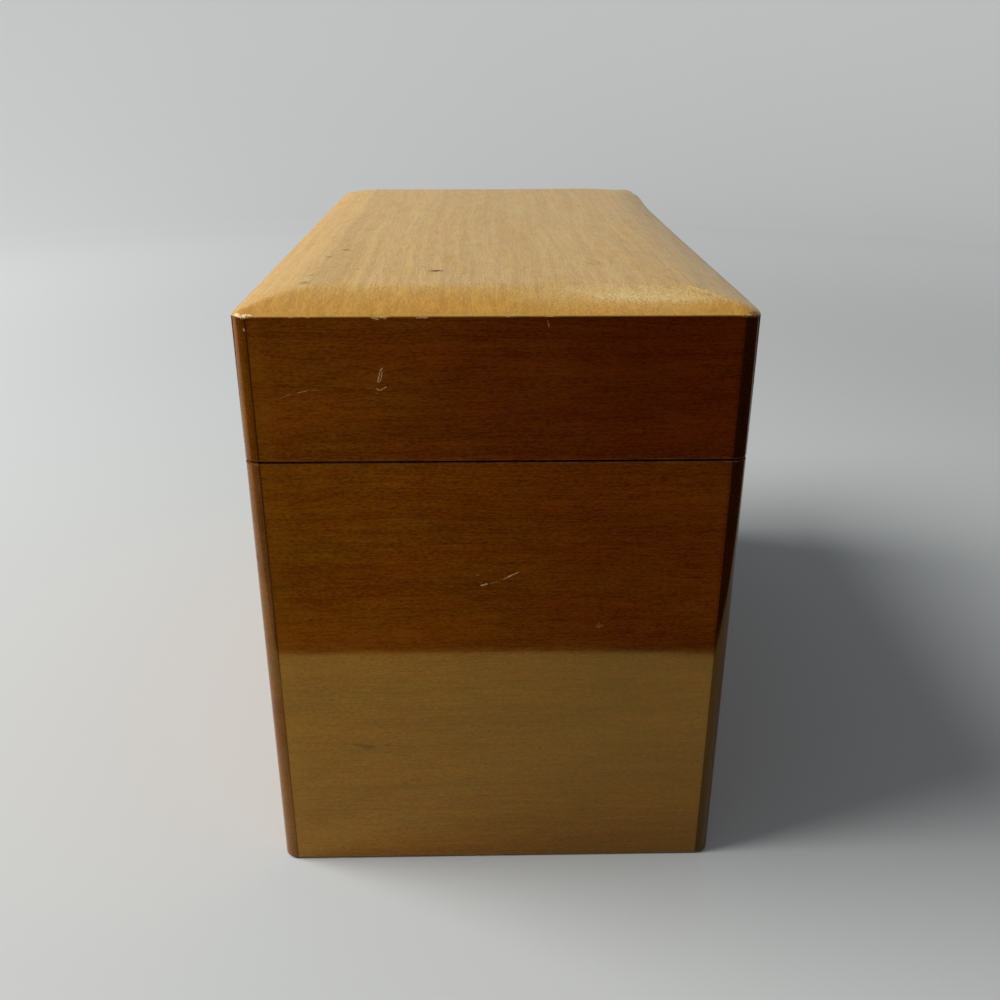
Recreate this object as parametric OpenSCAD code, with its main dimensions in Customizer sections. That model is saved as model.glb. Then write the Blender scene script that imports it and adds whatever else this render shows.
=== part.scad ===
// Wooden recipe card box: a glued case that was sawn through below the top, so that the upper
// part is a lid, hung on two butt hinges let into the back edge.
// The origin is at the middle of the underside. +Z is up, the front is at -X, the hinges at +X.

/* [Case] */
// Width of the box across its ends, front to back
case_w = 82; // [74:1:110]
// Length of the box from end to end
case_d = 149; // [130:1:200]
// Height of the saw cut that parts the lid from the case
case_h = 82; // [60:1:130]
// Width of the saw cut
saw_gap = 0.3; // [0.2:0.05:0.6]
// Radius of the four upright corners
corner_r = 2.5; // [1:0.1:4]
// Width of the small flats that ease the lower edges
arris = 0.4; // [0.2:0.05:0.8]
// Width of the smaller flats that ease the sawn edges, outside and inside
saw_arris = 0.15; // [0.1:0.05:0.4]

/* [Boards] */
// Thickness of the side and end boards
board_t = 8; // [7:0.25:12]
// Thickness of the lip that covers the end of an end board
lip_t = 2.6; // [1.5:0.1:3.2]
// Thickness of the tongue that locks into an end board
tongue_t = 2.5; // [1.5:0.1:3.5]
// Reach of that tongue into the end board
tongue_reach = 4; // [2:0.25:5]
// Width of a glue line between two boards
glue_line = 0.1; // [0.05:0.01:0.2]

/* [Base] */
// Thickness of the base panel
base_t = 5; // [3:0.25:8]
// Width of the rabbet that takes the base panel
rabbet_w = 4; // [2.5:0.25:5]
// Diameter of a brad
brad_d = 1.2; // [0.8:0.1:1.6]
// Diameter of a brad's head
brad_head_d = 2.1; // [1.8:0.1:2.4]
// Length of a brad
brad_len = 15; // [10:0.5:20]
// Depth that a brad's head is set below the surface
brad_set = 0.3; // [0.1:0.05:0.6]
// Brads along each side
side_brads = 4; // [2:1:6]
// Brads along each end
end_brads = 2; // [1:1:4]

/* [Lid] */
// Height of the lid's upright sides above the saw cut
lid_h = 24; // [16:1:40]
// Width of the bevel round the top
bevel_w = 10.4; // [6:0.2:16]
// Fall of that bevel
bevel_h = 2.6; // [1:0.1:4]
// How far the bevel bulges above a straight line across it
bevel_crown = 0.34; // [0.1:0.02:0.5]
// Radius that softens the bevel's upper edge
bevel_soft_r = 18; // [6:1:30]
// Thickness of the top panel at the foot of its bevel
panel_edge = 0.6; // [0.4:0.1:2]
// Depth of the plug under the top panel
plug_h = 2.8; // [1:0.1:5]

/* [Hinges] */
// Length of a hinge
hinge_len = 25; // [20:1:32]
// Distance from the middle of a hinge to the end of the box
hinge_inset = 30; // [20:1:45]
// Knuckles of a hinge
knuckles = 5; // [3, 5, 7]
// Outer radius of a knuckle
knuckle_r = 1.5; // [1.3:0.05:1.8]
// Gap between two knuckles
knuckle_gap = 0.15; // [0.1:0.05:0.3]
// Thickness of a leaf
leaf_t = 0.75; // [0.7:0.05:0.8]
// Reach of a leaf over the edge of the back board
leaf_reach = 6.8; // [5.5:0.1:7]
// Radius of a leaf's two inner corners
leaf_corner_r = 0.8; // [0.3:0.1:1.2]
// Width of the small flats that ease the ends of a pin
pin_ease = 0.2; // [0.1:0.05:0.3]
// Running clearance between a pin and its bore
pin_fit = 0.05; // [0.02:0.01:0.09]
// Clearance between the knuckles and the back of the box
knuckle_fit = 0.15; // [0.1:0.05:0.5]
// Clearance round a leaf in its mortise
mortise_fit = 0.1; // [0.05:0.05:0.2]

/* [Screws] */
// Diameter of a screw's shank
screw_d = 1.8; // [1.5:0.1:2]
// Diameter of a screw's head
screw_head_d = 3.1; // [2.8:0.1:3.2]
// Length of a screw
screw_len = 8; // [6:0.5:10]
// Length of a screw's point
screw_tip = 2; // [1:0.25:3]
// Width of the slot in a screw's head
slot_w = 0.5; // [0.3:0.05:0.6]
// Depth of that slot
slot_h = 0.35; // [0.2:0.05:0.4]
// Distance between the two screws of a leaf
screw_pitch = 15; // [10:0.5:17]
// Clearance round a screw
screw_fit = 0.05; // [0.03:0.01:0.1]

/* [Hidden] */

$fn = 48;
// Fineness of the shallow arcs along the lid's bevels
arc_fn = 720;
// Which way a piece lies along its axis
FRONT = -1;
BACK = 1;
RIGHT = -1;
LEFT = 1;
// Which side of the saw cut a hinge part belongs to
CASE = -1;
LID = 1;
// How far a cutter runs past the face that it opens
past = 1;

// Levels, from the table up
case_top = case_h - saw_gap / 2;
lid_low = case_h + saw_gap / 2;
bevel_foot = case_h + lid_h;
panel_low = bevel_foot - panel_edge;
rail_top = panel_low - glue_line;
box_top = bevel_foot + bevel_h;

// Inside of the boards
inner_w = case_w - 2 * board_t;
inner_d = case_d - 2 * board_t;

// Hinge line and the sizes that follow from it
hinge_x = case_w / 2 + knuckle_fit + knuckle_r;
hinge_y = case_d / 2 - hinge_inset;
bore_r = knuckle_r - leaf_t;
knuckle_pitch = hinge_len / knuckles;
screw_x = case_w / 2 - leaf_reach / 2;
screw_head_h = (screw_head_d - screw_d) / 2;
// Radius at the very end of a screw's point
screw_point_r = screw_d / 12;
// Middle of the ledge above the base rabbet, where the brads go in
brad_inset = board_t - rabbet_w / 2;

// A flat shape given across X and up Z, drawn out along Y about the middle
module along_y(length) rotate([90, 0, 0]) linear_extrude(length, center = true) children();

// A flat shape given across Y and up Z, drawn out along X about the middle
module along_x(length) rotate([90, 0, 90]) linear_extrude(length, center = true) children();

// Upright section of a block with its lower and upper edges eased
module eased_section(half, low, high, low_ease, high_ease) {
    polygon([
        [-half + low_ease, low], [half - low_ease, low], [half, low + low_ease],
        [half, high - high_ease], [half - high_ease, high],
        [-half + high_ease, high], [-half, high - high_ease], [-half, low + low_ease],
    ]);
}

// The outside of the box between two levels, with round corners and eased edges
module box_outside(low, high, low_ease, high_ease) {
    along_y(case_d - 2 * corner_r) eased_section(case_w / 2, low, high, low_ease, high_ease);
    along_x(case_w - 2 * corner_r) eased_section(case_d / 2, low, high, low_ease, high_ease);
    for (sx = [-1, 1], sy = [-1, 1])
        translate([sx * (case_w / 2 - corner_r), sy * (case_d / 2 - corner_r), 0])
            rotate_extrude()
                intersection() {
                    eased_section(corner_r, low, high, low_ease, high_ease);
                    translate([0, low]) square([corner_r, high - low]);
                }
}

// Plan of a long board at -X: each end keeps a lip outside and a locking tongue inside
module side_plan() {
    difference() {
        translate([-case_w / 2, -case_d / 2]) square([board_t, case_d]);
        for (end = [RIGHT, LEFT])
            scale([1, end])
                translate([-case_w / 2 + lip_t, case_d / 2 - board_t]) {
                    translate([0, -glue_line])
                        square([board_t - lip_t - tongue_t, board_t + glue_line + past]);
                    translate([0, tongue_reach])
                        square([board_t - lip_t + past, board_t - tongue_reach + past]);
                }
    }
}

// Plan of an end board at -Y: it fits between the lips, with a dado for each tongue
module end_plan() {
    length = case_w - 2 * lip_t - 2 * glue_line;
    difference() {
        translate([-length / 2, -case_d / 2]) square([length, board_t]);
        for (side = [FRONT, BACK])
            scale([side, 1])
                translate([
                    inner_w / 2 - glue_line,
                    -case_d / 2 + board_t - tongue_reach - glue_line,
                ])
                    square([tongue_t + 2 * glue_line, tongue_reach + glue_line + past]);
    }
}

// Rabbet for the base panel, cut from all four boards
module base_rabbet() {
    translate([
        -inner_w / 2 - rabbet_w,
        -inner_d / 2 - rabbet_w,
        -past,
    ])
        cube([inner_w + 2 * rabbet_w, inner_d + 2 * rabbet_w, base_t + glue_line + past]);
}

// Section of the funnel that eases the inner edges of a sawn rim, with the rim at level 0
module funnel_section(half) {
    polygon([
        [-half, -saw_arris], [half, -saw_arris], [half + saw_arris, 0],
        [half + saw_arris, past], [-half - saw_arris, past], [-half - saw_arris, 0],
    ]);
}

// That funnel, opening up at the rim of the case or down at the rim of the lid
module rim_funnel(part) {
    translate([0, 0, part == CASE ? case_top : lid_low])
        scale([1, 1, -part])
            intersection() {
                along_y(case_d) funnel_section(inner_w / 2);
                along_x(case_w) funnel_section(inner_d / 2);
            }
}

// Places of the brads: rows along the sides and along the ends
module at_brads() {
    side_step = (case_d - 2 * board_t) / side_brads;
    end_step = (case_w - 2 * board_t) / end_brads;
    for (side = [-1, 1], i = [0 : side_brads - 1])
        translate([side * (case_w / 2 - brad_inset), side_step * (i - (side_brads - 1) / 2), 0])
            children();
    for (end = [-1, 1], i = [0 : end_brads - 1])
        translate([end_step * (i - (end_brads - 1) / 2), end * (case_d / 2 - brad_inset), 0])
            children();
}

// A brad with its head down, or its hole when it is grown by a fit
module brad(fit) {
    head_h = brad_d / 2;
    translate([0, 0, brad_set]) {
        cylinder(h = head_h, r = brad_head_d / 2 + fit);
        cylinder(h = brad_len + fit, r = brad_d / 2 + fit);
    }
}

// The hole of a brad, open below its head
module brad_hole() {
    brad(screw_fit);
    translate([0, 0, -past]) cylinder(h = brad_set + past, r = brad_head_d / 2 + screw_fit);
}

// Places of the two hinges on the back edge
module at_hinge(end) translate([0, end * hinge_y, case_h]) children();

// Mortise for the leaf of a hinge, in the case or in the lid
module mortise(part) {
    depth = knuckle_r + mortise_fit / 2;
    translate([
        case_w / 2 - leaf_reach - mortise_fit,
        -hinge_len / 2 - mortise_fit,
        part == LID ? -past : -depth,
    ])
        cube([leaf_reach + mortise_fit + past, hinge_len + 2 * mortise_fit, depth + past]);
}

// Places of the two screws of a leaf, each pointing away from the saw cut
module at_screws(part) {
    for (end = [-1, 1])
        translate([screw_x, end * screw_pitch / 2, part * (knuckle_r - leaf_t)])
            scale([1, 1, -part])
                children();
}

// A countersunk wood screw, its head's face at the origin and its point down
module screw() {
    difference() {
        union() {
            translate([0, 0, -screw_head_h])
                cylinder(h = screw_head_h, r1 = screw_d / 2, r2 = screw_head_d / 2);
            translate([0, 0, -screw_len + screw_tip])
                cylinder(h = screw_len - screw_tip - screw_head_h, r = screw_d / 2);
            translate([0, 0, -screw_len])
                cylinder(h = screw_tip, r1 = screw_point_r, r2 = screw_d / 2);
        }
        translate([-screw_head_d / 2, -slot_w / 2, -slot_h])
            cube([screw_head_d, slot_w, slot_h + past]);
    }
}

// The hole that a screw fills, in a leaf and in the wood behind it
module screw_hole() {
    translate([0, 0, -screw_head_h])
        cylinder(
            h = screw_head_h,
            r1 = screw_d / 2 + screw_fit,
            r2 = screw_head_d / 2 + screw_fit
        );
    translate([0, 0, -screw_len - screw_fit])
        cylinder(h = screw_len + screw_fit, r = screw_d / 2 + screw_fit);
    cylinder(h = past, r = screw_head_d / 2 + screw_fit);
}

// A round bar along the hinge line, from one end of the hinge
module hinge_bar(start, length, radius) {
    translate([hinge_x, start, 0]) rotate([-90, 0, 0]) cylinder(h = length, r = radius);
}

// One leaf: a plate with square notches for the other leaf's knuckles, and its own knuckles
module hinge_leaf(part) {
    first_own = part == CASE ? 0 : 1;
    first_other = 1 - first_own;
    plate_low = part == CASE ? -knuckle_r : knuckle_r - leaf_t;
    difference() {
        union() {
            difference() {
                leaf_plate(plate_low);
                for (k = [first_other : 2 : knuckles - 1])
                    translate([
                        hinge_x - knuckle_r - knuckle_gap,
                        -hinge_len / 2 + k * knuckle_pitch - knuckle_gap / 2,
                        plate_low - past,
                    ])
                        cube([2 * knuckle_r, knuckle_pitch + knuckle_gap, leaf_t + 2 * past]);
            }
            for (k = [first_own : 2 : knuckles - 1]) {
                // The two outermost knuckles end flush with the leaf
                low_gap = k == 0 ? 0 : knuckle_gap / 2;
                high_gap = k == knuckles - 1 ? 0 : knuckle_gap / 2;
                hinge_bar(
                    -hinge_len / 2 + k * knuckle_pitch + low_gap,
                    knuckle_pitch - low_gap - high_gap,
                    knuckle_r
                );
            }
        }
        hinge_bar(-hinge_len / 2 - past, hinge_len + 2 * past, bore_r);
        at_screws(part) screw_hole();
    }
}

// The flat of a leaf, from its round inner corners out to the hinge line
module leaf_plate(low) {
    inner = case_w / 2 - leaf_reach;
    translate([inner + leaf_corner_r, -hinge_len / 2, low])
        cube([hinge_x - inner - leaf_corner_r, hinge_len, leaf_t]);
    translate([inner, -hinge_len / 2 + leaf_corner_r, low])
        cube([leaf_corner_r + past, hinge_len - 2 * leaf_corner_r, leaf_t]);
    for (end = [-1, 1])
        translate([inner + leaf_corner_r, end * (hinge_len / 2 - leaf_corner_r), low])
            cylinder(h = leaf_t, r = leaf_corner_r);
}

// A long board of the case, or a long rail of the lid, between two levels
module side_piece(side, low, high, low_ease, high_ease) {
    intersection() {
        box_outside(low, high, low_ease, high_ease);
        translate([0, 0, low]) linear_extrude(high - low) scale([-side, 1]) side_plan();
    }
}

// An end board of the case, or an end rail of the lid, between two levels
module end_piece(end, low, high, low_ease, high_ease) {
    intersection() {
        box_outside(low, high, low_ease, high_ease);
        translate([0, 0, low]) linear_extrude(high - low) scale([1, -end]) end_plan();
    }
}

// Everything that is cut from the boards of the case
module case_cuts() {
    base_rabbet();
    rim_funnel(CASE);
    at_brads() brad_hole();
}

// Hinge mortises and screw holes, in the back of the case or of the lid
module hinge_cuts(part) {
    for (end = [RIGHT, LEFT])
        at_hinge(end) {
            mortise(part);
            at_screws(part) screw_hole();
        }
}

module front_board() {
    color("#7d4a1c")
        difference() {
            side_piece(FRONT, 0, case_top, arris, saw_arris);
            case_cuts();
        }
}

module back_board() {
    color("#7d4a1c")
        difference() {
            side_piece(BACK, 0, case_top, arris, saw_arris);
            case_cuts();
            hinge_cuts(CASE);
        }
}

module case_end_board(end) {
    color("#6e3c12")
        difference() {
            end_piece(end, 0, case_top, arris, saw_arris);
            case_cuts();
        }
}

module base_panel() {
    color("#c79d63")
        difference() {
            translate([
                -inner_w / 2 - rabbet_w + glue_line,
                -inner_d / 2 - rabbet_w + glue_line,
                0,
            ])
                cube([
                    inner_w + 2 * rabbet_w - 2 * glue_line,
                    inner_d + 2 * rabbet_w - 2 * glue_line,
                    base_t,
                ]);
            at_brads() brad_hole();
        }
}

module base_brads() color("#9a9a92") at_brads() brad(0);

module lid_front_rail() {
    color("#7d4a1c")
        difference() {
            side_piece(FRONT, lid_low, rail_top, saw_arris, 0);
            rim_funnel(LID);
        }
}

module lid_back_rail() {
    color("#7d4a1c")
        difference() {
            side_piece(BACK, lid_low, rail_top, saw_arris, 0);
            rim_funnel(LID);
            hinge_cuts(LID);
        }
}

module lid_end_rail(end) {
    color("#6e3c12")
        difference() {
            end_piece(end, lid_low, rail_top, saw_arris, 0);
            rim_funnel(LID);
        }
}

// Section of the top panel across one of its two spans: crowned bevels, each softened where it
// meets the flat. The bulge stays low enough to fall all the way, and the softening arc is kept
// smaller than the bevel's own.
module bevel_section(half) {
    chord = norm([bevel_w, bevel_h]);
    crown = min(bevel_crown, chord / 3 * tan(atan(bevel_h / bevel_w) / 2));
    arc_r = chord * chord / (8 * crown) + crown / 2;
    arc_x = half - bevel_w / 2 - (arc_r - crown) * bevel_h / chord;
    arc_z = bevel_foot + bevel_h / 2 - (arc_r - crown) * bevel_w / chord;
    soft_r = min(bevel_soft_r, arc_r / 2);
    soft_z = box_top - soft_r;
    soft_x = arc_x + sqrt(pow(arc_r - soft_r, 2) - pow(soft_z - arc_z, 2));
    // Where the two arcs run into each other
    meet_x = arc_x + (soft_x - arc_x) * arc_r / (arc_r - soft_r);
    difference() {
        translate([-half, panel_low]) square([2 * half, box_top - panel_low]);
        for (side = [-1, 1])
            scale([side, 1]) {
                difference() {
                    translate([soft_x, bevel_foot]) square([meet_x - soft_x, bevel_h + past]);
                    translate([soft_x, soft_z]) circle(r = soft_r, $fn = arc_fn);
                }
                difference() {
                    translate([soft_x, bevel_foot]) square([half + past - soft_x, bevel_h + past]);
                    translate([arc_x, arc_z]) circle(r = arc_r, $fn = arc_fn);
                }
            }
    }
}

module lid_top_panel() {
    color("#c39b62") {
        intersection() {
            box_outside(panel_low, box_top, 0, 0);
            along_y(case_d) bevel_section(case_w / 2);
            along_x(case_w) bevel_section(case_d / 2);
        }
        translate([
            -inner_w / 2 + glue_line,
            -inner_d / 2 + glue_line,
            panel_low - plug_h,
        ])
            cube([inner_w - 2 * glue_line, inner_d - 2 * glue_line, plug_h + panel_edge]);
    }
}

module case_leaf(end) color("#b08d45") at_hinge(end) hinge_leaf(CASE);

module lid_leaf(end) color("#b08d45") at_hinge(end) hinge_leaf(LID);

// The pin of a hinge, as long as its knuckles, with eased ends
module hinge_pin(end) {
    pin_r = bore_r - pin_fit;
    color("#a07d3a")
        at_hinge(end)
            translate([hinge_x, 0, 0])
                rotate([-90, 0, 0])
                    for (side = [-1, 1])
                        scale([1, 1, side]) {
                            cylinder(h = hinge_len / 2 - pin_ease, r = pin_r);
                            translate([0, 0, hinge_len / 2 - pin_ease])
                                cylinder(h = pin_ease, r1 = pin_r, r2 = pin_r - pin_ease);
                        }
}

module leaf_screws(end, part) color("#b99750") at_hinge(end) at_screws(part) screw();

front_board();
back_board();
case_end_board(RIGHT);  // right_end_board
case_end_board(LEFT);  // left_end_board
base_panel();
base_brads();
lid_front_rail();
lid_back_rail();
lid_end_rail(RIGHT);  // lid_right_end_rail
lid_end_rail(LEFT);  // lid_left_end_rail
lid_top_panel();
case_leaf(RIGHT);  // right_hinge_case_leaf
lid_leaf(RIGHT);  // right_hinge_lid_leaf
hinge_pin(RIGHT);  // right_hinge_pin
leaf_screws(RIGHT, CASE);  // right_hinge_case_screws
leaf_screws(RIGHT, LID);  // right_hinge_lid_screws
case_leaf(LEFT);  // left_hinge_case_leaf
lid_leaf(LEFT);  // left_hinge_lid_leaf
hinge_pin(LEFT);  // left_hinge_pin
leaf_screws(LEFT, CASE);  // left_hinge_case_screws
leaf_screws(LEFT, LID);  // left_hinge_lid_screws
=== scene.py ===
import math

import bmesh
import bpy
from mathutils import Matrix, Vector, noise


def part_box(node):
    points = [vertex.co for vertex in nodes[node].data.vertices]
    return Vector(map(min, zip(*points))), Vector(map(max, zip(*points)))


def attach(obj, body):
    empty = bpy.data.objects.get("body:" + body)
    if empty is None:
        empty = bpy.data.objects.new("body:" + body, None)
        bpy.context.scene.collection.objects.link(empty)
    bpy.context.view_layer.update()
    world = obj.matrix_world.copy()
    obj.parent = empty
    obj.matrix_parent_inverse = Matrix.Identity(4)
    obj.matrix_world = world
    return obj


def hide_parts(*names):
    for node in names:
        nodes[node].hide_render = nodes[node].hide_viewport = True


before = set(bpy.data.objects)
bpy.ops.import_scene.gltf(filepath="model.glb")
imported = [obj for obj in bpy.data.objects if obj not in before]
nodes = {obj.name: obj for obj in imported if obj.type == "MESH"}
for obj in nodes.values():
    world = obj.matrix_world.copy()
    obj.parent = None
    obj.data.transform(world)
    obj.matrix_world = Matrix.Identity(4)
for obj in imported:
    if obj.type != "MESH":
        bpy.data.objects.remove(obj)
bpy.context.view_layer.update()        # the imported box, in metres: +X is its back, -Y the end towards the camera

mm = 0.001
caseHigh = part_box("front_board")[1]
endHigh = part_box("right_end_board")[1]
backLow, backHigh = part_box("back_board")
railLow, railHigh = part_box("lid_front_rail")
topLow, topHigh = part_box("lid_top_panel")
halfWide = backHigh.x
halfLong = caseHigh.y
boardThick = backHigh.x - backLow.x


# Shader helpers
def feed(tree, socket, value):
    if isinstance(value, bpy.types.NodeSocket):
        tree.links.new(value, socket)
    elif socket.type == "RGBA" and len(value) == 3:
        socket.default_value = (*value, 1)
    else:
        socket.default_value = value


def feedAll(tree, sockets, values):
    for name, value in values.items():
        feed(tree, sockets[name], value)


def addNode(tree, kind, inputs, **options):
    node = tree.nodes.new("ShaderNode" + kind)
    for name, value in options.items():
        setattr(node, name, value)
    feedAll(tree, node.inputs, inputs)
    return node


def calc(tree, operation, *values, clamp=False):
    node = tree.nodes.new("ShaderNodeMath")
    node.operation = operation
    node.use_clamp = clamp
    for socket, value in zip(node.inputs, values):
        feed(tree, socket, value)
    return node.outputs[0]


def calcVector(tree, operation, *values, out="Vector"):
    node = tree.nodes.new("ShaderNodeVectorMath")
    node.operation = operation
    for socket, value in zip(node.inputs, values):
        feed(tree, socket, value)
    return node.outputs[out]


def step(tree, value, start, end, low=0.0, high=1.0):
    sockets = {"Value": value, "From Min": start, "From Max": end, "To Min": low, "To Max": high}
    return addNode(tree, "MapRange", sockets, interpolation_type="SMOOTHSTEP").outputs[0]


def mixColor(tree, amount, first, second, mode="MIX"):
    node = tree.nodes.new("ShaderNodeMix")
    node.data_type = "RGBA"
    node.blend_type = mode
    for index, value in ((0, amount), (6, first), (7, second)):
        feed(tree, node.inputs[index], value)
    return node.outputs[2]


def noiseOf(tree, vector, stretch, detail=2.0, roughness=0.5, distortion=0.0):
    stretched = calcVector(tree, "MULTIPLY", vector, stretch)
    sockets = {
        "Vector": stretched, "Scale": 1.0, "Detail": detail,
        "Roughness": roughness, "Distortion": distortion,
    }
    return addNode(tree, "TexNoise", sockets).outputs["Fac"]


# Starts a group. An input is a vector where its value is None, and otherwise a colour or a number
def newGroup(name, inputs, outputs):
    group = bpy.data.node_groups.new(name, "ShaderNodeTree")
    for label, value in inputs.items():
        kind = "Vector" if value is None else "Color" if isinstance(value, tuple) else "Float"
        socket = group.interface.new_socket(name=label, in_out="INPUT", socket_type="NodeSocket" + kind)
        if value is not None:
            socket.default_value = (*value, 1) if kind == "Color" else value
    for label in outputs:
        kind = "Color" if label == "Color" else "Float"
        group.interface.new_socket(name=label, in_out="OUTPUT", socket_type="NodeSocket" + kind)
    return group, group.nodes.new("NodeGroupInput").outputs, group.nodes.new("NodeGroupOutput").inputs


def useGroup(tree, group, **values):
    node = tree.nodes.new("ShaderNodeGroup")
    node.node_tree = group
    for name, value in values.items():
        label = name[0].upper() + "".join(" " + c if c.isupper() else c for c in name[1:])
        feed(tree, node.inputs[label], value)
    return node.outputs


# Wood seen from any side: bands, growth lines, fibres, mottle and short flecks along X, in millimetres
def makeGrainGroup():
    group, given, result = newGroup(
        "woodGrain",
        {
            "Vector": None, "Pale": (0.5, 0.3, 0.1), "Dark": (0.3, 0.15, 0.05),
            "Fleck Color": (0.1, 0.04, 0.01), "Band Amount": 0.6, "Line Amount": 0.5,
            "Fibre Amount": 0.5, "Mottle Amount": 0.5, "Fleck Amount": 0.5,
        },
        ("Color", "Height"),
    )
    point = given["Vector"]
    drift = addNode(group, "TexNoise", {
        "Vector": calcVector(group, "MULTIPLY", point, (0.02, 0.05, 0.05)), "Scale": 1.0, "Detail": 1.0,
    }).outputs["Color"]
    drift = calcVector(group, "MULTIPLY", calcVector(group, "SUBTRACT", drift, (0.5, 0.5, 0.5)), (0, 4, 4))
    wavy = calcVector(group, "ADD", point, drift)
    layers = (
        ("Band Amount", noiseOf(group, wavy, (0.012, 0.13, 0.13), 3.0, 0.55)),
        ("Line Amount", noiseOf(group, wavy, (0.015, 0.8, 0.8), 2.0, 0.5)),
        ("Fibre Amount", noiseOf(group, wavy, (0.16, 3.2, 3.2), 3.0, 0.65)),
        ("Mottle Amount", noiseOf(group, point, (1.2, 4.4, 4.4), 1.0, 0.6)),
    )
    spread = 0.5
    for amount, layer in layers:
        spread = calc(group, "MULTIPLY_ADD", calc(group, "SUBTRACT", layer, 0.5), given[amount], spread)
    flecks = noiseOf(group, wavy, (1.0, 5.5, 5.5), 1.0, 0.4)
    patches = noiseOf(group, wavy, (0.03, 0.12, 0.12), 1.0, 0.5)
    flecks = calc(group, "MULTIPLY", step(group, flecks, 0.58, 0.7), step(group, patches, 0.4, 0.6, 0.3, 1.0))
    color = mixColor(group, calc(group, "MAXIMUM", spread, 0.0, clamp=True), given["Pale"], given["Dark"])
    flecked = calc(group, "MULTIPLY", flecks, given["Fleck Amount"], clamp=True)
    color = mixColor(group, flecked, color, given["Fleck Color"])
    height = calc(group, "SUBTRACT", layers[2][1], calc(group, "MULTIPLY", flecks, 0.5))
    feedAll(group, result, {"Color": color, "Height": height})
    return group


# Old varnish: deeper, redder or greener in clouds along X, with dust in it and smears that dull the gloss
def makeVarnishGroup():
    group, given, result = newGroup(
        "agedVarnish",
        {
            "Vector": None, "Color": (0.5, 0.3, 0.1), "Deep": (0.6, 0.4, 0.3), "Cloud Amount": 0.5,
            "Hue Amount": 0.5, "Dust Amount": 0.3, "Gloss": 0.12, "Smear": 0.08, "Ripple": 0.2, "Swell": 10.0,
        },
        ("Color", "Roughness", "Height"),
    )
    point = given["Vector"]
    clouds = step(group, noiseOf(group, point, (0.035, 0.1, 0.1), 4.0, 0.6), 0.35, 0.65)
    deepened = mixColor(group, 1.0, given["Color"], given["Deep"], "MULTIPLY")
    color = mixColor(group, calc(group, "MULTIPLY", clouds, given["Cloud Amount"]), given["Color"], deepened)
    hues = step(group, noiseOf(group, point, (0.07, 0.22, 0.22), 4.0, 0.65), 0.35, 0.65)
    hues = mixColor(group, hues, (1.07, 0.88, 0.85), (0.94, 1.12, 1.15))
    color = mixColor(group, given["Hue Amount"], color, hues, "MULTIPLY")
    dust = step(group, noiseOf(group, point, (3.1, 3.3, 3.2), 1.0, 0.5), 0.64, 0.74)
    color = mixColor(group, calc(group, "MULTIPLY", dust, given["Dust Amount"]), color, deepened)
    smears = step(group, noiseOf(group, point, (0.1, 0.22, 0.2), 5.0, 0.7, 0.8), 0.45, 0.7)
    swell = calc(group, "MULTIPLY", noiseOf(group, point, (0.022, 0.016, 0.016), 1.0, 0.5), given["Swell"])
    ripple = noiseOf(group, point, (0.5, 0.55, 0.5), 2.0, 0.5)
    rough = calc(group, "MULTIPLY_ADD", smears, given["Smear"], given["Gloss"])
    height = calc(group, "MULTIPLY_ADD", ripple, given["Ripple"], swell)
    feedAll(group, result, {"Color": color, "Roughness": rough, "Height": height})
    return group


# How deep a point lies in the block between two corners, along each axis
def depthsInBlock(group, given):
    above = calcVector(group, "SUBTRACT", given["Vector"], given["Low"])
    below = calcVector(group, "SUBTRACT", given["High"], given["Vector"])
    return addNode(group, "SeparateXYZ", {"Vector": calcVector(group, "MINIMUM", above, below)}).outputs


# By how much the border of a mask strays, in millimetres: up to some times its width
def strayOf(group, given, fineness, detail, times):
    noisy = noiseOf(group, given["Vector"], (fineness, fineness, fineness), detail, 0.7)
    stray = calc(group, "MULTIPLY", calc(group, "SUBTRACT", noisy, 0.5), given["Ragged"])
    return calc(group, "MULTIPLY", stray, calc(group, "MULTIPLY", given["Width"], times))


# How near a point of the surface is to an edge of the block between two corners
def makeEdgeGroup():
    group, given, result = newGroup(
        "edgeWear", {"Vector": None, "Low": None, "High": None, "Width": 0.5, "Ragged": 0.5}, ("Mask",),
    )
    depths = depthsInBlock(group, given)
    least = calc(group, "MINIMUM", depths[0], depths[1])
    most = calc(group, "MAXIMUM", depths[0], depths[1])
    middle = calc(group, "MAXIMUM", least, calc(group, "MINIMUM", most, depths[2]))
    middle = calc(group, "ADD", middle, strayOf(group, given, 0.45, 5.0, 6.0))
    feed(group, result["Mask"], step(group, middle, given["Width"], 0.0))
    return group


# A scratch, chip or stain along a short line, and also a painted glint or painted shade, all in millimetres
def makeMarkGroup():
    group, given, result = newGroup(
        "strokeMark", {"Vector": None, "Start": None, "End": None, "Width": 0.2, "Ragged": 0.5}, ("Mask",),
    )
    along = calcVector(group, "SUBTRACT", given["End"], given["Start"])
    out = calcVector(group, "SUBTRACT", given["Vector"], given["Start"])
    share = calc(group, "DIVIDE", calcVector(group, "DOT_PRODUCT", out, along, out="Value"),
                 calcVector(group, "DOT_PRODUCT", along, along, out="Value"), clamp=True)
    foot = addNode(group, "VectorMath", {0: along, "Scale": share}, operation="SCALE").outputs[0]
    away = calcVector(group, "LENGTH", calcVector(group, "SUBTRACT", out, foot), out="Value")
    away = calc(group, "ADD", away, strayOf(group, given, 3.4, 4.0, 5.0))
    fromMiddle = calc(group, "ABSOLUTE", calc(group, "SUBTRACT", share, 0.5))
    width = calc(group, "MULTIPLY", given["Width"], step(group, fromMiddle, 0.2, 0.6, 1.0, 0.3))
    feed(group, result["Mask"], step(group, away, width, calc(group, "MULTIPLY", width, 0.4)))
    return group


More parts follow.
